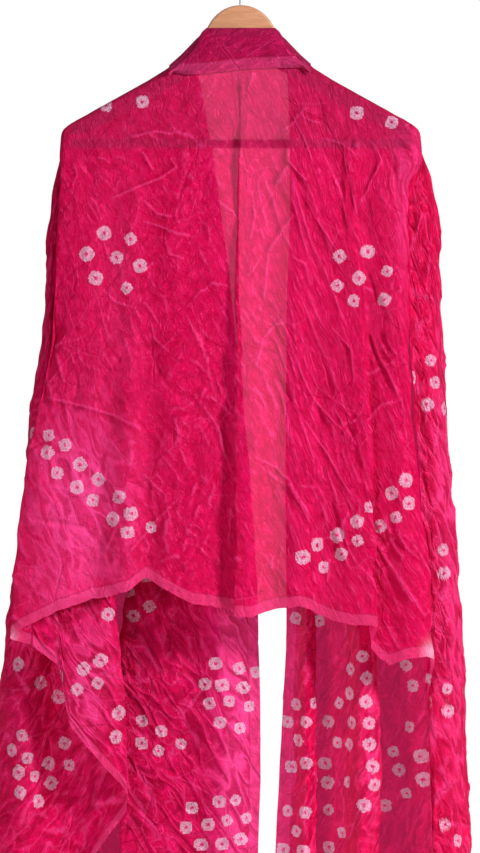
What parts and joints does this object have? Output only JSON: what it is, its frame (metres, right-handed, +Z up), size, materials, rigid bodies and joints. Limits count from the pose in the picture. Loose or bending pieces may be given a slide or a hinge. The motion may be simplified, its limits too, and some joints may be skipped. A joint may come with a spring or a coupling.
{
  "type": "dupatta stole on a wooden hanger",
  "caption": "Sheer crinkled pink silk dupatta with tie-dyed dots, hung over a wooden hanger like a shawl, turned over as a collar at the neck, its two ends hanging behind.",
  "frame": {"origin": "the hook's inner top, where it rests on a rail", "axes": "+Z up along the tallest way, +X to the right of someone who looks at the wearer's back, -Y the wearer's back"},
  "size_m": [0.6195, 0.131, 1.2774],
  "materials": {
    "silk": "sheer, crinkled, with a soft sheen",
    "silk_collar": "sheer, crinkled, with a soft sheen",
    "wood": "satin varnish",
    "steel": "polished"
  },
  "bodies": {
    "root": {"back_stretch": "silk", "collar_turnover": "silk_collar", "left_fall": "silk", "right_fall": "silk", "hanger_body": "wood", "hanger_bar": "wood", "hanger_hook": "steel"}
  },
  "joints": []
}
